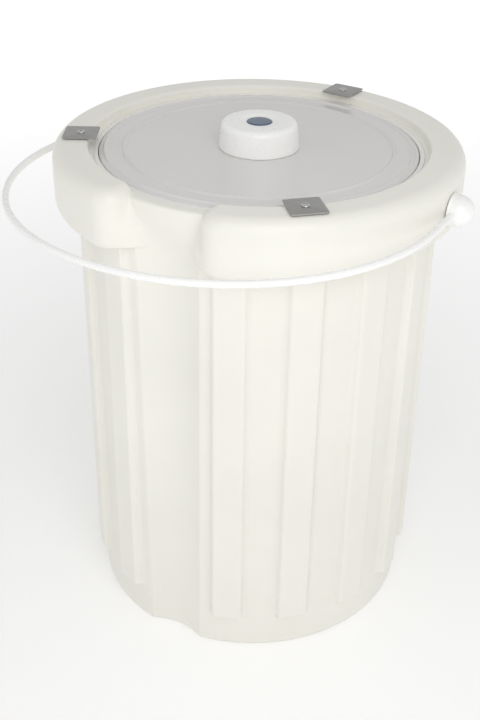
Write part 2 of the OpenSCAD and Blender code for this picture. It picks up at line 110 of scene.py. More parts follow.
outer_bead_r = 128.0
bead_w = 5.0
bead_h = 1.6
knob_foot_r = 34.0
knob_top_r = 31.5
knob_h = 21.8
knob_edge_r = 5.0
knob_dish_r = 15.6
knob_dish_depth = 0.8
inlay_r = 10.6
inlay_t = 2.4
clip_angles = {"front": 41.5, "back": 177.0, "left": 298.0}
clip_side = 28.4
clip_t = 1.2
clip_corner_r = 1.6
clip_pivot_r = 148.2
clip_low_z = 434.3
clip_screw_r = 2.0
clip_head_r = 3.4
clip_head_h = 1.6
insert_r = 3.65
bush_r = 4.45
bail_half_w = 176.0
bail_leg = 53.0
bail_tilt = math.radians(1.0)
coating_r = 2.9
elbow_r = 4.6
cap_face_x = 171.4
cap_r = 12.8
cap_h = 18.6
vent_angle = 28.0
vent_z = 395.0
vent_r = 1.6
lid_hole_r = 4.3
plug_wall_r = plug_r - lid_wall
gasket_w = 5.0
nut_r = 6.6
knob_top_z = disc_z + knob_h
inlay_low_z = knob_top_z - knob_dish_depth - inlay_t + 0.6
clip_bevel = 0.22
cross_slot = (3.7, 0.75, 1.9)         # length, width and depth of one slot of the screws' cross

# ---- How the shell's surfaces run into each other, in mm ---------------------------
shell_skin = shell_wall - 0.2         # from the outer surface to the inner one
rib_edge_r = 2.0
rib_low_edge_r = 2.2
rib_root_r = 3.0
rib_root_in = 6.0                     # how far the flanks run on into the wall
rim_edge_r = 2.4
wall_in_collar = 8.0                  # how far the wall runs on inside the collar
core_below_collar = 4.0
core_swell_h = 20.0
collar_root_r = 3.5
collar_root_h = 3.0
corner_fade_h = 25.0
corner_least = 0.08                   # share of recess_corner_r that is left at the rim
channel_softness = 0.8                # rounds the channel's edges
beside_channel = 40.0                 # well outside the channel
back_half_off = 400.0                 # keeps the recess out of the back half

# ---- The rays that find the shell: (distance from the axis, height) of their eyes ----
foot_eye = (125.0, 15.0)
rib_eye = (132.0, 50.0)
collar_eye = (120.0, 405.0)
rim_eye = (143.0, 408.0)
wall_eye_r = 128.0
ray_length = 62.0
ray_steps = 34
ray_halvings = 12
shell_columns = 1180
lobe_end_angle, lobe_end_span = 15, 7           # degrees, where the columns stand closer
flank_angle, flank_span = 5.6, 1.5
channel_span = 9

# ---- Camera -------------------------------------------------------------------
cam_azimuth = math.radians(28.0)      # from the front of the bucket towards +X
cam_distance = 0.8955                 # across the floor from the axis
cam_height = 0.7584
cam_yaw = math.radians(-0.84)
cam_pitch = math.radians(31.14)
cam_roll = math.radians(0.86)
turn = Matrix.Rotation(cam_azimuth, 3, "Z")
look = Vector((math.sin(cam_yaw) * math.cos(cam_pitch), math.cos(cam_yaw) * math.cos(cam_pitch),
               -math.sin(cam_pitch)))
side = Vector((math.cos(cam_yaw), -math.sin(cam_yaw), 0))
up = side.cross(look)
side_r = side * math.cos(cam_roll) + up * math.sin(cam_roll)
up_r = up * math.cos(cam_roll) - side * math.sin(cam_roll)
axes = Matrix((turn @ side_r, turn @ up_r, turn @ (-look))).transposed()
cam_data = bpy.data.cameras.new("camera")
cam_data.lens = 56.2
cam_data.sensor_width = 36.0
cam_data.clip_start = 0.02
camera = bpy.data.objects.new("camera", cam_data)
camera.matrix_world = Matrix.Translation(turn @ Vector((0, -cam_distance, cam_height))) @ axes.to_4x4()
bpy.context.scene.collection.objects.link(camera)
bpy.context.scene.camera = camera


# ---- Mesh helpers ---------------------------------------------------------------
def add_mesh(name, verts, faces, body, slot, smooth=True):
    mesh = bpy.data.meshes.new(name)
    mesh.from_pydata([tuple(v) for v in np.asarray(verts) * MM], [], faces)
    mesh.validate()
    mesh.update()
    if smooth:
        mesh.polygons.foreach_set("use_smooth", [True] * len(mesh.polygons))
    obj = bpy.data.objects.new(name, mesh)
    bpy.context.scene.collection.objects.link(obj)
    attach(obj, body)
    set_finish(obj, slot)
    return obj


def arc(cx, cy, r, a0, a1, n=8):
    return [(cx + r * math.cos(math.radians(a0 + (a1 - a0) * i / n)),
             cy + r * math.sin(math.radians(a0 + (a1 - a0) * i / n))) for i in range(n + 1)]


def soften(profile, radius, closed=False):
    """Rounds the corners of an (r, z) profile. radius is one number, or one for each point."""
    pts = [Vector(p) for p in profile]
    radii = radius if isinstance(radius, (list, tuple)) else [radius] * len(pts)
    out = []
    count = len(pts)
    for i, p in enumerate(pts):
        if not closed and i in (0, count - 1):
            out.append(tuple(p))
            continue
        a, b = pts[i - 1] - p, pts[(i + 1) % count] - p
        la, lb = a.length, b.length
        if la < 1e-6 or lb < 1e-6 or radii[i] <= 0:
            out.append(tuple(p))
            continue
        a, b = a / la, b / lb
        cosang = max(-1.0, min(1.0, a.dot(b)))
        half = math.acos(cosang) / 2
        if half > math.radians(87):
            out.append(tuple(p))
            continue
        reach = min(radii[i] / math.tan(half), la * 0.48, lb * 0.48)
        r = reach * math.tan(half)
        centre = p + (a + b).normalized() * (r / math.sin(half))
        start, end = p + a * reach - centre, p + b * reach - centre
        total = start.angle_signed(end)
        steps = max(2, int(abs(math.degrees(total)) / 12) + 1)
        for k in range(steps + 1):
            c, s = math.cos(-total * k / steps), math.sin(-total * k / steps)
            out.append((centre.x + start.x * c - start.y * s, centre.y + start.x * s + start.y * c))
    return out


def lathe(name, profile, body, slot, n=256, closed=False, centre=(0, 0)):
    """A solid of revolution about +Z. An open profile starts and ends on the axis."""
    rings, verts, faces = [], [], []
    for r, z in profile:
        if r < 1e-4:
            rings.append([len(verts)])
            verts.append((centre[0], centre[1], z))
        else:
            rings.append(list(range(len(verts), len(verts) + n)))
            for i in range(n):
                a = 2 * math.pi * i / n
                verts.append((centre[0] + r * math.cos(a), centre[1] + r * math.sin(a), z))
    pairs = list(zip(rings, rings[1:])) + ([(rings[-1], rings[0])] if closed else [])
    for low, high in pairs:
        if len(low) == 1 and len(high) == 1:
            continue
        for i in range(n):
            j = (i + 1) % n
            if len(low) == 1:
                faces.append((low[0], high[j], high[i]))
            elif len(high) == 1:
                faces.append((low[i], low[j], high[0]))
            else:
                faces.append((low[i], low[j], high[j], high[i]))
    obj = add_mesh(name, verts, faces, body, slot)
    outward(obj)
    mark_sharp(obj, 38)
    return obj


def outward(obj):
    """Turns every face outward."""
    bm = bmesh.new()
    bm.from_mesh(obj.data)
    bmesh.ops.recalc_face_normals(bm, faces=bm.faces)
    bm.to_mesh(obj.data)
    bm.free()


def mark_sharp(obj, degrees):
    """Keeps the edges that turn by more than this out of the smooth shading."""
    bm = bmesh.new()
    bm.from_mesh(obj.data)
    for e in bm.edges:
        if len(e.link_faces) == 2 and e.calc_face_angle(0) > math.radians(degrees):
            e.smooth = False
    bm.to_mesh(obj.data)
    bm.free()


def at_clip(angle):
    """Where a clip turns, at this angle from the front."""
    a = math.radians(angle)
    return clip_pivot_r * math.sin(a), -clip_pivot_r * math.cos(a)
# ---- Vessel shell: rays cast on a smooth field of distances --------------------
def union_round(a, b, r):
    u = np.maximum(r - a, 0)
    v = np.maximum(r - b, 0)
    return np.maximum(r, np.minimum(a, b)) - np.sqrt(u * u + v * v)


def cut_round(a, b, r):
    """What is left of a when b is cut away, with a rounded edge."""
    u = np.maximum(r + a, 0)
    v = np.maximum(r - b, 0)
    return np.minimum(-r, np.maximum(a, -b)) + np.sqrt(u * u + v * v)


def channel_hollow(theta, wall_r, z):
    """How deep the channel is down the front, which fades out behind the recess."""
    fade_low_z, fade_high_z = channel_fade_z
    fade = np.clip((fade_high_z - z) / (fade_high_z - fade_low_z), 0, 1)
    fade = fade * fade * (3 - 2 * fade)
    middle = channel_floor_r + channel_r
    aside = middle * np.sin(np.radians(np.minimum(np.abs(theta), 90)))
    depth = wall_r - middle * np.cos(np.radians(theta)) + np.sqrt(np.maximum(channel_r ** 2 - aside ** 2, 0))
    depth = np.where(aside < channel_r, depth, -beside_channel)
    return fade * 0.5 * (depth + np.sqrt(depth * depth + channel_softness))


def rib_field(rho, theta, z):
    around = np.mod(theta, 360) - rib_first_angle
    nearest = np.clip(np.round(around / rib_step), 0, rib_count - 1)
    off = np.radians(around - nearest * rib_step)
    across = np.abs(rho * np.sin(off))
    out = rho * np.cos(off)
    slope = rib_flare / (rib_face_r - base_r + rib_root_in)
    flank = (across - rib_half_face - (rib_face_r - out) * slope) / math.sqrt(1 + slope * slope)
    rib = cut_round(out - rib_face_r, -flank, rib_edge_r)
    return cut_round(rib, z - rib_low_z, rib_low_edge_r)


def collar_field(rho, x, y, z):
    """The collar, with its round-nosed ends beside the recess, which is in the front half only."""
    plan = cut_round(rho - collar_r, np.abs(x) - recess_half_w + back_half_off * (y > 0), lobe_end_r)
    mid_z = (vessel_h + collar_low_z) / 2
    half_h = (vessel_h - collar_low_z) / 2
    edge_r = np.where(z > mid_z, collar_top_edge_r, collar_low_edge_r)
    across = plan + edge_r
    along = np.abs(z - mid_z) - half_h + edge_r
    corner = np.sqrt(np.maximum(across, 0) ** 2 + np.maximum(along, 0) ** 2)
    return np.minimum(np.maximum(across, along), 0) + corner - edge_r


def shell_field(x, y, z):
    """Distance to the shell's outer surface, less than 0 inside."""
    rho = np.sqrt(x * x + y * y)
    theta = np.degrees(np.arctan2(x, -y))
    wall_r = base_r + (neck_r - base_r) * np.clip(z / collar_low_z, 0, 1)
    hollow = channel_hollow(theta, wall_r, z)
    body = union_round(rho - wall_r + hollow, rib_field(rho, theta, z), rib_root_r)
    body = np.maximum(body, z - collar_low_z - wall_in_collar)
    # the core behind the recess, which carries the rim
    swell = np.clip((z - collar_low_z + core_swell_h / 2) / core_swell_h, 0, 1)
    core = rho - neck_r - (recess_back_r - neck_r) * swell + hollow
    core = np.maximum(core, collar_low_z - core_below_collar - z)
    core = cut_round(core, rim_z - z, rim_edge_r)
    body = np.minimum(body, core)
    # the recess's inner corners get sharper towards the rim
    corner_r = recess_corner_r * np.clip((rim_z - z) / corner_fade_h, corner_least, 1)
    blend_r = np.where(z < collar_low_z + collar_root_h, collar_root_r, corner_r)
    shell = union_round(collar_field(rho, x, y, z), body, blend_r)
    shell = cut_round(shell, np.maximum(rho - step_r, rim_z - z), rim_edge_r)
    return cut_round(shell, z, base_edge_r)


def fan(eye, first, last, count):
    """Rays from one (r, z) eye, with their slopes in degrees."""
    return [(eye[0], eye[1], a) for a in np.linspace(first, last, count)]


def stack(low_z, high_z, count):
    """Level rays, one above the other."""
    return [(wall_eye_r, z, 0.0) for z in np.linspace(low_z, high_z, count)]


def ray_rows():
    """(distance from the axis, height, slope in degrees) of each ray, from the base to the rim."""
    rows = fan(foot_eye, -90, 0, 22) + stack(17, 19, 2)
    rows += fan(rib_eye, -66, -46, 12) + fan(rib_eye, -45, -24, 44) + fan(rib_eye, -22, 0, 8)
    rows += stack(55, 345, 34) + stack(350, 362, 6)
    rows += fan(collar_eye, -52, -41, 14) + fan(collar_eye, -40.5, -12, 64) + fan(collar_eye, -11, 0, 8)
    rows += fan(rim_eye, 4, 30, 14) + fan(rim_eye, 31, 74, 40) + fan(rim_eye, 74.8, 104, 44)
    return rows


def azimuths():
    """The angles of the columns, closer together where the surface turns quickly."""
    steps = 7200
    fine = np.linspace(0, 360, steps + 1)[:-1]
    signed = np.where(fine > 180, fine - 360, fine)
    weight = np.full(fine.shape, 1.0)
    weight += 5.0 * (np.abs(np.abs(signed) - lobe_end_angle) < lobe_end_span)
    weight += 2.0 * (np.abs(signed) < channel_span)
    for k in range(rib_count):
        from_rib = np.abs(fine - rib_first_angle - k * rib_step)
        weight += 3.5 * (np.abs(from_rib - flank_angle) < flank_span)
    total = np.concatenate([[0], np.cumsum(weight)])
    shares = np.linspace(0, total[-1], shell_columns + 1)[:-1]
    return np.interp(shares, total, np.arange(steps + 1) * (360 / steps))


def cast(rows, theta, level):
    """The point on each ray where the field reaches level, found from outside."""
    a = np.radians(theta)[None, :]
    r0 = np.array([r[0] for r in rows])[:, None]
    z0 = np.array([r[1] for r in rows])[:, None]
    slope = np.radians([r[2] for r in rows])[:, None]
    dr, dz = np.cos(slope), np.sin(slope)
    sin_a, cos_a = np.sin(a), np.cos(a)

    def value(s):
        rho = r0 + dr * s
        return shell_field(rho * sin_a, -rho * cos_a, z0 + dz * s) - level

    hi = np.full((len(rows), len(theta)), ray_length)
    s = hi.copy()
    for _ in range(ray_steps):
        f = value(s)
        outside = f > 0
        hi = np.where(outside, s, hi)
        s = np.where(outside, np.maximum(s - np.maximum(f * 0.8, 0.03), 0), s)
    lo = s
    for _ in range(ray_halvings):
        m = (hi + lo) / 2
        inside = value(m) <= 0
        lo = np.where(inside, m, lo)
        hi = np.where(inside, hi, m)
    s = (hi + lo) / 2
    return r0 + dr * s, z0 + dz * s


def band(profile, columns):
    """The rows of a round stretch, as radii and heights, the same in every column."""
    ones = np.ones((1, columns))
    return [np.array([p[k] for p in profile])[:, None] * ones for k in (0, 1)]


def build_shell():
    theta = azimuths()
    rows = ray_rows()
    n = len(theta)
    rho, z = cast(rows, theta, 0.0)
    rho_in, z_in = cast(rows, theta, -shell_skin)
    keep = (rho_in.min(axis=1) > skirt_r + 3.2) | (z_in.max(axis=1) < seat_z - 12)
    groove = soften([(0.1, 0), (groove_in_r - foot_groove_depth, 0), (groove_in_r, foot_groove_depth),
                     (groove_out_r, foot_groove_depth), (groove_out_r + foot_groove_depth * 0.5, 0),
                     (foot_eye[0], 0)], 1.2)[:-1]
    groove_in = [(r, h + shell_wall) for r, h in groove]
    skirt = [(skirt_r + 0.35, rim_z), (skirt_r + 0.1, rim_z - 0.12), (skirt_r, rim_z - 0.4),
             (skirt_r, seat_z + 4), (skirt_r, seat_z - liner_wall)]
    skirt_in = [(skirt_r + shell_skin, h) for h in (seat_z - liner_wall, seat_z, rim_z - 6)]
    bands = [band(groove, n), (rho, z), band(skirt, n), band(skirt_in, n),
             (rho_in[keep][::-1], z_in[keep][::-1]), band(groove_in[::-1], n)]
    r_all = np.vstack([b[0] for b in bands])
    z_all = np.vstack([b[1] for b in bands])
    a = np.radians(theta)[None, :]
    verts = np.stack([r_all * np.sin(a), -r_all * np.cos(a), z_all], axis=2).reshape(-1, 3)
    last = (r_all.shape[0] - 1) * n
    low, high = len(verts), len(verts) + 1
    verts = np.vstack([verts, [[0, 0, 0], [0, 0, shell_wall]]])
    j = np.arange(n)
    j2 = (j + 1) % n
    faces = []
    for i in range(0, last, n):
        corners = (i + j, i + j2, i + n + j2, i + n + j)
        faces += list(zip(*(c.tolist() for c in corners)))
    faces += [(low, int(b), int(c)) for b, c in zip(j2, j)]
    faces += [(high, int(last + b), int(last + c)) for b, c in zip(j, j2)]
    return add_mesh("vessel_shell", verts, faces, "vessel", "shell_plastic")


def carve(obj, bm, solver):
    """Cuts what is in bm out of obj, and frees bm."""
    mesh = bpy.data.meshes.new("cutter")
    bm.to_mesh(mesh)
    bm.free()
    tool = bpy.data.objects.new("cutter", mesh)
    bpy.context.scene.collection.objects.link(tool)
    mod = obj.modifiers.new("cut", "BOOLEAN")
    mod.operation = "DIFFERENCE"
    mod.solver = solver
    mod.use_self = solver == "EXACT"
    mod.object = tool
    bpy.context.view_layer.update()
    done = bpy.data.meshes.new_from_object(obj.evaluated_get(bpy.context.evaluated_depsgraph_get()))
    obj.modifiers.clear()
    old = obj.data
    obj.data = done
    bpy.data.meshes.remove(old)
    bpy.data.objects.remove(tool)
    obj.data.name = obj.name


def drill(obj, holes):
    """Cuts round holes, each given as (place, radius, length)."""
    bm = bmesh.new()
    for matrix, r, length in holes:
        bmesh.ops.create_cone(bm, cap_ends=True, segments=48, radius1=r * MM, radius2=r * MM,
                              depth=length * MM, matrix=matrix)
    carve(obj, bm, "FAST")


def shell_holes():
    """The holes for the clips' inserts, for the bail's bushes and for the vent plug."""
    quarter = math.pi / 2
    holes = []
    for angle in clip_angles.values():
        x, y = at_clip(angle)
        holes.append((Matrix.Translation(Vector((x, y, vessel_h)) * MM), insert_r, 24))
    for s in (-1, 1):
        bush = Matrix.Translation(Vector((s * (collar_r - 2), 0, pivot_z)) * MM)
        holes.append((bush @ Matrix.Rotation(quarter, 4, "Y"), bush_r, 30))
    nose_x = recess_half_w + lobe_end_r
    nose_y = -math.sqrt((collar_r - lobe_end_r) ** 2 - nose_x ** 2)
    a = math.radians(vent_angle)
    vent = Vector((-nose_x + lobe_end_r * math.sin(a), nose_y - lobe_end_r * math.cos(a), vent_z)) * MM
    face = Matrix.Rotation(a, 4, "Z") @ Matrix.Rotation(quarter, 4, "X")
    holes.append((Matrix.Translation(vent) @ face, vent_r, 12))
    return holes


shell = build_shell()
drill(shell, shell_holes())
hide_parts("outer_shell")


# ---- Liner, lid and knob ----------------------------------------------------------
def liner_profile():
    side_low_z = floor_z + 20
    ledge_z = seat_z - liner_wall
    corner = (floor_r - floor_edge_r, floor_z + floor_edge_r)
    side = soften([(floor_r, side_low_z), (mouth_r, seat_z), (seat_r, seat_z), (seat_r, rim_z),
                   (liner_rim_r, rim_z), (liner_rim_r, ledge_z), (mouth_r + liner_wall, ledge_z),
                   (floor_r + liner_wall, side_low_z)], [0, 1.2, 0.8, 0.7, 0.4, 0.8, 1.5, 0])
    return ([(0, floor_z)] + arc(*corner, floor_edge_r, -90, 0, 10) + side
            + arc(*corner, floor_edge_r + liner_wall, 0, -90, 10) + [(0, floor_z - liner_wall)])


def bead(r, z, steps=14):
    """A raised ring on the lid, with the outline of one wave."""
    return [(r - bead_w / 2 + bead_w * i / steps,
             z + bead_h * (0.5 - 0.5 * math.cos(2 * math.pi * i / steps))) for i in range(steps + 1)]


def lid_profile():
    spigot_r = plug_wall_r - 0.05
    spigot_in_r = plug_wall_r - 3.05
    spigot_z = flange_low_z - 6
    edge = soften([(outer_bead_r + 2.6, disc_z), (lid_r, rim_z - 0.1), (lid_r, flange_low_z),
                   (spigot_r, flange_low_z), (spigot_r, spigot_z), (spigot_in_r, spigot_z),
                   (spigot_in_r, disc_z - lid_wall), (lid_hole_r, disc_z - lid_wall)],
                  [0, 2.2, 0.9, 0.4, 0.5, 0.5, 1.0, 0])
    return [(lid_hole_r, disc_z)] + bead(inner_bead_r, disc_z) + bead(outer_bead_r, disc_z) + edge


def pan_profile():
    floor_top_z = plug_low_z + lid_wall
    return soften([(lid_hole_r, plug_low_z), (plug_r, plug_low_z), (plug_r, flange_low_z),
                   (plug_wall_r, flange_low_z), (plug_wall_r, floor_top_z), (lid_hole_r, floor_top_z)],
                  [0.3, 2.4, 0.4, 0.4, 1.0, 0.3], closed=True)


def gasket_profile():
    mid = (mouth_r + lid_r) / 2
    low_r, high_r = mid - gasket_w / 2, mid + gasket_w / 2
    return soften([(low_r, seat_z), (high_r, seat_z), (high_r, flange_low_z), (low_r, flange_low_z)],
                  1.2, closed=True)


def knob_profile():
    """From the dish for the inlay over the rim and under it to the hole for the nut."""
    dish_z = knob_top_z - knob_dish_depth
    foot_z = disc_z + 0.02
    under_z = knob_top_z - 8
    hub_r = inlay_r
    nut_z = disc_z + 13
    side = soften([(inlay_r, inlay_low_z + 0.2), (inlay_r, dish_z), (knob_dish_r - 1.0, dish_z),
                   (knob_dish_r + 0.6, knob_top_z), (knob_top_r, knob_top_z), (knob_foot_r, foot_z),
                   (knob_foot_r - 4, foot_z), (knob_top_r - 5.5, under_z), (hub_r, under_z),
                   (hub_r, foot_z), (nut_r, foot_z), (nut_r, nut_z)],
                  [0, 0.35, 0.8, 0.9, knob_edge_r, 1.0, 0.8, 2.0, 1.0, 0.4, 0.3, 0])
    return [(0, inlay_low_z), (inlay_r, inlay_low_z)] + side + [(0, nut_z)]


def inlay_profile():
    low_z = inlay_low_z + 0.01
    top_z = inlay_low_z + inlay_t
    side_r = inlay_r - 0.1
    return [(0, low_z)] + soften([(2, low_z), (side_r, low_z), (side_r, top_z - 0.25),
                                  (inlay_r - 1.6, top_z), (0, top_z)], [0, 0.2, 0.4, 1.0, 0])


liner = lathe("liner", liner_profile(), "vessel", "liner_plastic", 288)
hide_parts("inner_liner")
lid = lathe("lid_cover", lid_profile(), "lid", "lid_plastic", 320, closed=True)
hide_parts("lid_top")
pan = lathe("lid_underside", pan_profile(), "lid", "liner_plastic", 256, closed=True)
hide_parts("lid_pan")
gasket = lathe("lid_seal", gasket_profile(), "lid", "gasket_rubber", 256, closed=True)
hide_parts("lid_gasket")
knob = lathe("knob_body", knob_profile(), "lid", "knob_plastic", 192)
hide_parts("knob")
inlay = lathe("knob_button", inlay_profile(), "lid", "inlay_plastic", 128)
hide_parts("knob_inlay")


# ---- Clips ---------------------------------------------------------------------------
def plate_outline():
    """A square with round corners, with points along its sides too."""
    half = clip_side / 2 - clip_corner_r
    corners = []
    for sx, sy, start in ((1, 1, 0), (-1, 1, 90), (-1, -1, 180), (1, -1, 270)):
        for k in range(7):
            a = math.radians(start + 15 * k)
            corners.append((sx * half + clip_corner_r * math.cos(a), sy * half + clip_corner_r * math.sin(a)))
    outline = []
    for i, p in enumerate(corners):
        q = corners[(i + 1) % len(corners)]
        steps = 6 if math.dist(p, q) > 5 else 1
        outline += [(p[0] + (q[0] - p[0]) * t / steps, p[1] + (q[1] - p[1]) * t / steps)
                    for t in range(steps)]
    return outline


def clip_plate(which):
    """A pressed square plate with a softened edge and its screw hole."""
    outline = plate_outline()
    half = clip_side / 2
    hole_r = clip_screw_r + 0.05
    b = clip_bevel
    rings = []
    for inset, z in ((b, 0), (b * 0.3, b * 0.3), (0, b),
                     (0, clip_t - b), (b * 0.3, clip_t - b * 0.3), (b, clip_t)):
        scale = (half - inset) / half
        rings.append([(x * scale, y * scale, z) for x, y in outline])
    for r, z in ((hole_r + 0.15, clip_t), (hole_r, clip_t - 0.15), (hole_r, 0.15), (hole_r + 0.15, 0)):
        rings.append([(r * x / math.hypot(x, y), r * y / math.hypot(x, y), z) for x, y in outline])
    m = len(outline)
    faces = []
    for k in range(len(rings)):
        this, after = k * m, (k + 1) % len(rings) * m
        faces += [(this + i, this + (i + 1) % m, after + (i + 1) % m, after + i) for i in range(m)]
    a = math.radians(clip_angles[which])
    c, s = math.cos(a), math.sin(a)
    px, py = at_clip(clip_angles[which])
    verts = [(px + c * x - s * y, py + s * x + c * y, clip_low_z + z) for ring in rings for x, y, z in ring]
    obj = add_mesh("clip_" + which + "_plate", verts, faces, "clip_" + which, "clip_steel")
    outward(obj)
    mark_sharp(obj, 35)
    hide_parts("clip_plate_" + which)


def clip_screw(which):
    """A cross-head screw: a shank, a domed head and the cross cut into it."""
    px, py = at_clip(clip_angles[which])
    head_z = clip_low_z + clip_t + 0.05
    top_z = head_z + clip_head_h
    tip_z = vessel_h - 9
    side = soften([(0.4, tip_z), (clip_screw_r, tip_z), (clip_screw_r, head_z), (clip_head_r, head_z),
                   (clip_head_r, head_z + 0.55), (clip_head_r * 0.72, head_z + clip_head_h * 0.9),
                   (0.5, top_z)], [0, 0.5, 0.1, 0.12, 0.5, 0.9, 0])
    profile = [(0, tip_z)] + side + [(0, top_z)]
    obj = lathe("clip_" + which + "_bolt", profile, "vessel", "steel", 64, centre=(px, py))
    slot_size = Matrix.Diagonal([side_mm * MM for side_mm in cross_slot] + [1])
    bm = bmesh.new()
    for a in (0, 90):
        at = Matrix.Translation(Vector((px, py, top_z)) * MM) @ Matrix.Rotation(math.radians(a + 20), 4, "Z")
        bmesh.ops.create_cube(bm, size=1, matrix=at @ slot_size)
    carve(obj, bm, "EXACT")
    mark_sharp(obj, 40)
    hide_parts("clip_screw_" + which)


for which in clip_angles:
    clip_plate(which)
    clip_screw(which)


# ---- Bail ---------------------------------------------------------------------------
def join_rings(rings, n):
    """The faces between rings of n points each, which follow one another."""
    return [(i * n + k, i * n + (k + 1) % n, (i + 1) * n + (k + 1) % n, (i + 1) * n + k)
            for i in range(rings - 1) for k in range(n)]


def bail_point(x, y):
    """From the bail's own plane to the frame of the bucket."""
    return (x, y * math.cos(bail_tilt), pivot_z - y * math.sin(bail_tilt))


def tube(name, path, r, body, slot, seg=28):
    """A round bar with slightly tapered ends along a path of points."""
    pts = [Vector(p) for p in path]
    n = len(pts)
    tangents = [(pts[min(i + 1, n - 1)] - pts[max(i - 1, 0)]).normalized() for i in range(n)]
    normal = Vector((0, -math.sin(bail_tilt), math.cos(bail_tilt)))
    tip_r, tip_out = r * 0.25, 0.35
    stations = [(0, tip_r, -tip_out)] + [(i, r, 0.0) for i in range(n)] + [(n - 1, tip_r, tip_out)]
    verts = []
    for i, ring_r, off in stations:
        t = tangents[i]
        aside = t.cross(normal).normalized()
        above = aside.cross(t).normalized()
        base = pts[i] + t * off
        for k in range(seg):
            a = 2 * math.pi * k / seg
            verts.append(base + aside * (ring_r * math.cos(a)) + above * (ring_r * math.sin(a)))
    rows = len(stations)
    faces = join_rings(rows, seg)
    faces.append(tuple(range(seg)))
    faces.append(tuple(range((rows - 1) * seg, rows * seg)))
    obj = add_mesh(name, [tuple(v) for v in verts], faces, body, slot)
    outward(obj)
    return obj


def bow(start):
    """The path of the bail's cover: a straight leg, half a circle and the other leg."""
    pts = [(bail_half_w, -y) for y in np.linspace(start, bail_leg, 9)]
    pts += [(bail_half_w * math.cos(a), -bail_leg - bail_half_w * math.sin(a))
            for a in map(math.radians, np.linspace(1.2, 178.8, 148))]
    pts += [(-bail_half_w, -y) for y in np.linspace(bail_leg, start, 9)]
    return [bail_point(*p) for p in pts]


cover = tube("bail_cover", bow(elbow_r + 1.2), coating_r - 0.05, "bail", "coating_plastic", 36)
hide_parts("bail_coating")


def cap_rows():
    """(radius, height over its face) of an end cap: a flared foot and a dome."""
    foot_h = cap_h * 0.28
    rows = [(0.1, 0.0), (cap_r - 0.4, 0.0), (cap_r + 0.7, 0.15), (cap_r + 0.9, 0.6),
            (cap_r + 0.6, 1.3), (cap_r + 0.25, 2.2), (cap_r + 0.1, 3.2)]
    rows += [(cap_r * math.cos(a) ** 0.96, foot_h + (cap_h - foot_h) * math.sin(a))
             for a in map(math.radians, np.linspace(4, 88, 22))]
    return rows


def cap(which, s):
    """A domed end cap, on the right with s = 1 and on the left with s = -1."""
    n = 96
    rows = cap_rows()
    verts = []
    for r, h in rows:
        for k in range(n):
            a = 2 * math.pi * k / n
            verts.append((s * (cap_face_x + h), r * math.cos(a), pivot_z + r * math.sin(a)))
    tip, back = len(verts), len(verts) + 1
    verts += [(s * (cap_face_x + cap_h), 0, pivot_z), (s * cap_face_x, 0, pivot_z)]
    top = (len(rows) - 1) * n
    faces = join_rings(len(rows), n)
    faces += [(top + k, top + (k + 1) % n, tip) for k in range(n)]
    faces += [(back, (k + 1) % n, k) for k in range(n)]
    obj = add_mesh("bail_end_" + which, verts, faces, "bail", "coating_plastic")
    outward(obj)
    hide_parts("bail_cap_" + which)


cap("right", 1)
cap("left", -1)


# ---- Materials -------------------------------------------------------------------------
def noise(nt, source, scale, detail):
    node = nt.nodes.new("ShaderNodeTexNoise")
    node.inputs["Scale"].default_value = scale
    node.inputs["Detail"].default_value = detail
    nt.links.new(source, node.inputs["Vector"])
    return node


def material(name, color, rough, metal=0.0, variation=0.03, tone_scale=18.0, bump=0.0, bump_scale=900.0,
             rough_var=0.06, sss=0.0, sss_r=0.012, coat=0.0, coat_rough=0.1, stretch=None):
    """A finish whose colour, roughness and surface vary a little from place to place."""
    mat = bpy.data.materials.new(name)
    mat.use_nodes = True
    nt = mat.node_tree
    b = nt.nodes["Principled BSDF"]
    b.inputs["Metallic"].default_value = metal
    b.inputs["IOR"].default_value = 1.5
    b.inputs["Specular IOR Level"].default_value = 0.5
    b.inputs["Subsurface Weight"].default_value = sss
    b.inputs["Subsurface Radius"].default_value = (1.0, 0.92, 0.78)
    b.inputs["Subsurface Scale"].default_value = sss_r
    b.inputs["Coat Weight"].default_value = coat
    b.inputs["Coat Roughness"].default_value = coat_rough
    source = nt.nodes.new("ShaderNodeTexCoord").outputs["Object"]
    if stretch:
        mapping = nt.nodes.new("ShaderNodeMapping")
        mapping.inputs["Scale"].default_value = stretch
        nt.links.new(source, mapping.inputs["Vector"])
        source = mapping.outputs["Vector"]
    tone = noise(nt, source, tone_scale, 5.0)
    tone.inputs["Roughness"].default_value = 0.55
    ramp = nt.nodes.new("ShaderNodeValToRGB")
    dark, light = ramp.color_ramp.elements
    dark.position = 0.3
    light.position = 0.7
    dark.color = tuple(c * (1 - variation) for c in color) + (1,)
    light.color = tuple(min(1, c * (1 + variation * 0.5)) for c in color) + (1,)
    nt.links.new(tone.outputs["Fac"], ramp.inputs["Fac"])
    nt.links.new(ramp.outputs["Color"], b.inputs["Base Color"])
    rough_range = nt.nodes.new("ShaderNodeMapRange")
    rough_range.inputs["From Min"].default_value = 0.3
    rough_range.inputs["From Max"].default_value = 0.7
    rough_range.inputs["To Min"].default_value = max(0.02, rough - rough_var)
    rough_range.inputs["To Max"].default_value = min(1.0, rough + rough_var)
    grain = noise(nt, source, tone_scale * 5, 6.0)
    nt.links.new(grain.outputs["Fac"], rough_range.inputs["Value"])
    nt.links.new(rough_range.outputs["Result"], b.inputs["Roughness"])
    if bump > 0:
        surface = noise(nt, source, bump_scale, 3.0)
        relief = nt.nodes.new("ShaderNodeBump")
        relief.inputs["Strength"].default_value = bump
        relief.inputs["Distance"].default_value = 0.0004
        nt.links.new(surface.outputs["Fac"], relief.inputs["Height"])
        nt.links.new(relief.outputs["Normal"], b.inputs["Normal"])
    return mat


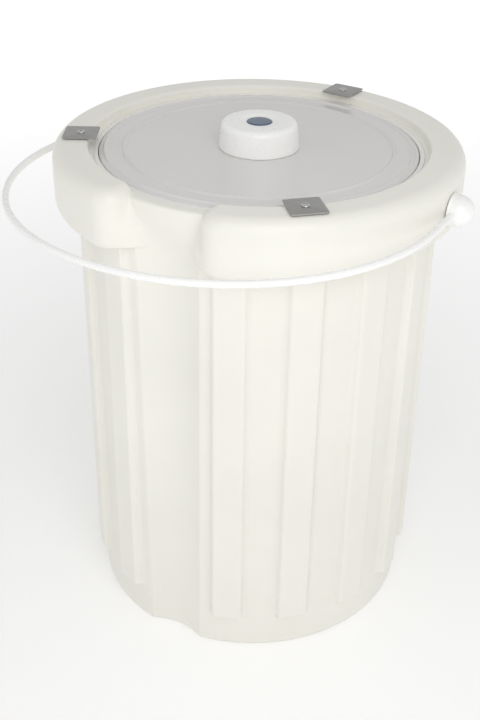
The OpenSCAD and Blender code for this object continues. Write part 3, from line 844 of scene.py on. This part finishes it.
looks = {
    "shell_plastic": dict(color=(0.875, 0.86, 0.79), rough=0.40, variation=0.03, tone_scale=9.0,
                          bump=0.08, bump_scale=700, sss=0.08, sss_r=0.008),
    "liner_plastic": dict(color=(0.88, 0.88, 0.85), rough=0.38, variation=0.02, bump=0.06,
                          sss=0.25, sss_r=0.008),
    "lid_plastic": dict(color=(0.72, 0.70, 0.69), rough=0.22, variation=0.02, tone_scale=14.0,
                        bump=0.02, bump_scale=260, rough_var=0.03, coat=0.35, coat_rough=0.10),
    "knob_plastic": dict(color=(0.93, 0.93, 0.915), rough=0.30, variation=0.015, bump=0.03),
    "inlay_plastic": dict(color=(0.035, 0.075, 0.16), rough=0.22, variation=0.25, tone_scale=160,
                          coat=0.5, coat_rough=0.06),
    "steel": dict(color=(0.62, 0.62, 0.63), rough=0.28, metal=1.0, variation=0.06, tone_scale=300),
    "clip_steel": dict(color=(0.42, 0.415, 0.405), rough=0.38, metal=1.0, variation=0.14, tone_scale=60,
                       bump=0.12, bump_scale=300, stretch=(1, 24, 1)),
    "brass": dict(color=(0.72, 0.55, 0.25), rough=0.32, metal=1.0, variation=0.08, tone_scale=200),
    "coating_plastic": dict(color=(0.93, 0.93, 0.92), rough=0.26, variation=0.015, bump=0.02),
    "nylon": dict(color=(0.86, 0.86, 0.84), rough=0.4, variation=0.02, sss=0.2, sss_r=0.003),
    "gasket_rubber": dict(color=(0.66, 0.66, 0.64), rough=0.6, variation=0.04, bump=0.1, bump_scale=1200),
    "foam": dict(color=(0.80, 0.72, 0.50), rough=0.85, variation=0.10, tone_scale=260,
                 bump=0.8, bump_scale=900),
    "dark_plastic": dict(color=(0.10, 0.10, 0.10), rough=0.5, variation=0.06, bump=0.1),
}
mats = {name: material(name, **look) for name, look in looks.items()}


def paint(obj, slot):
    obj.data.materials.clear()
    obj.data.materials.append(mats[slot])


for part in frame["record"]["subparts"]:
    paint(frame["nodes"][part["node"]], part["material_slot"])
for obj in bpy.data.objects:
    if obj.type == "MESH" and obj.name not in frame["nodes"] and "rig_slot" in obj:
        paint(obj, obj["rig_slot"])

# ---- Stage ---------------------------------------------------------------------------
floor_mesh = bpy.data.meshes.new("floor")
floor_mesh.from_pydata([(-6, -6, 0), (6, -6, 0), (6, 6, 0), (-6, 6, 0)], [], [(0, 1, 2, 3)])
floor = bpy.data.objects.new("floor", floor_mesh)
floor.location.z = -0.0004
bpy.context.scene.collection.objects.link(floor)
floor_mat = bpy.data.materials.new("floor")
floor_mat.use_nodes = True
fb = floor_mat.node_tree.nodes["Principled BSDF"]
fb.inputs["Base Color"].default_value = (0.95, 0.95, 0.95, 1)
fb.inputs["Roughness"].default_value = 0.9
fb.inputs["Specular IOR Level"].default_value = 0.1
fb.inputs["Emission Color"].default_value = (1, 1, 1, 1)
# a little of its own light, more of it far from the bucket, so that the backdrop stays white
floor_nodes = floor_mat.node_tree.nodes
floor_coord = floor_nodes.new("ShaderNodeTexCoord")
floor_far = floor_nodes.new("ShaderNodeVectorMath")
floor_far.operation = "LENGTH"
floor_glow = floor_nodes.new("ShaderNodeMapRange")
floor_glow.inputs["From Min"].default_value = 0.3
floor_glow.inputs["From Max"].default_value = 1.6
floor_glow.inputs["To Min"].default_value = 0.15
floor_glow.inputs["To Max"].default_value = 0.45
floor_mat.node_tree.links.new(floor_coord.outputs["Object"], floor_far.inputs[0])
floor_mat.node_tree.links.new(floor_far.outputs["Value"], floor_glow.inputs["Value"])
floor_mat.node_tree.links.new(floor_glow.outputs["Result"], fb.inputs["Emission Strength"])
floor.data.materials.append(floor_mat)

world = bpy.data.worlds.new("studio")
bpy.context.scene.world = world
world.use_nodes = True
sky = world.node_tree.nodes["Background"]
sky.inputs["Strength"].default_value = 0.74
sky_dir = world.node_tree.nodes.new("ShaderNodeTexCoord")
sky_split = world.node_tree.nodes.new("ShaderNodeSeparateXYZ")
sky_ramp = world.node_tree.nodes.new("ShaderNodeValToRGB")
sky_ramp.color_ramp.elements[0].position = 0.05
sky_ramp.color_ramp.elements[0].color = (1, 1, 1, 1)
sky_ramp.color_ramp.elements[1].position = 0.95
sky_ramp.color_ramp.elements[1].color = (0.78, 0.78, 0.78, 1)
world.node_tree.links.new(sky_dir.outputs["Generated"], sky_split.inputs["Vector"])
world.node_tree.links.new(sky_split.outputs["Z"], sky_ramp.inputs["Fac"])
world.node_tree.links.new(sky_ramp.outputs["Color"], sky.inputs["Color"])
bpy.context.scene.view_settings.view_transform = "Standard"
bpy.context.scene.view_settings.look = "None"


def softbox(name, azimuth, elevation, distance, size, power):
    """A round light aimed at the middle of the bucket, at angles from the front and over the floor."""
    data = bpy.data.lights.new(name, "AREA")
    data.shape = "DISK"
    data.size = size
    data.energy = power
    obj = bpy.data.objects.new(name, data)
    a, e = math.radians(azimuth), math.radians(elevation)
    aim = Vector((0, 0, 0.25))
    spot = aim + Vector((math.sin(a) * math.cos(e), -math.cos(a) * math.cos(e), math.sin(e))) * distance
    obj.location = spot
    obj.rotation_euler = (aim - spot).to_track_quat("-Z", "Y").to_euler()
    bpy.context.scene.collection.objects.link(obj)


softbox("key", 38, 38, 1.15, 0.8, 3.4)
softbox("fill", -30, 18, 2.4, 1.8, 0.9)
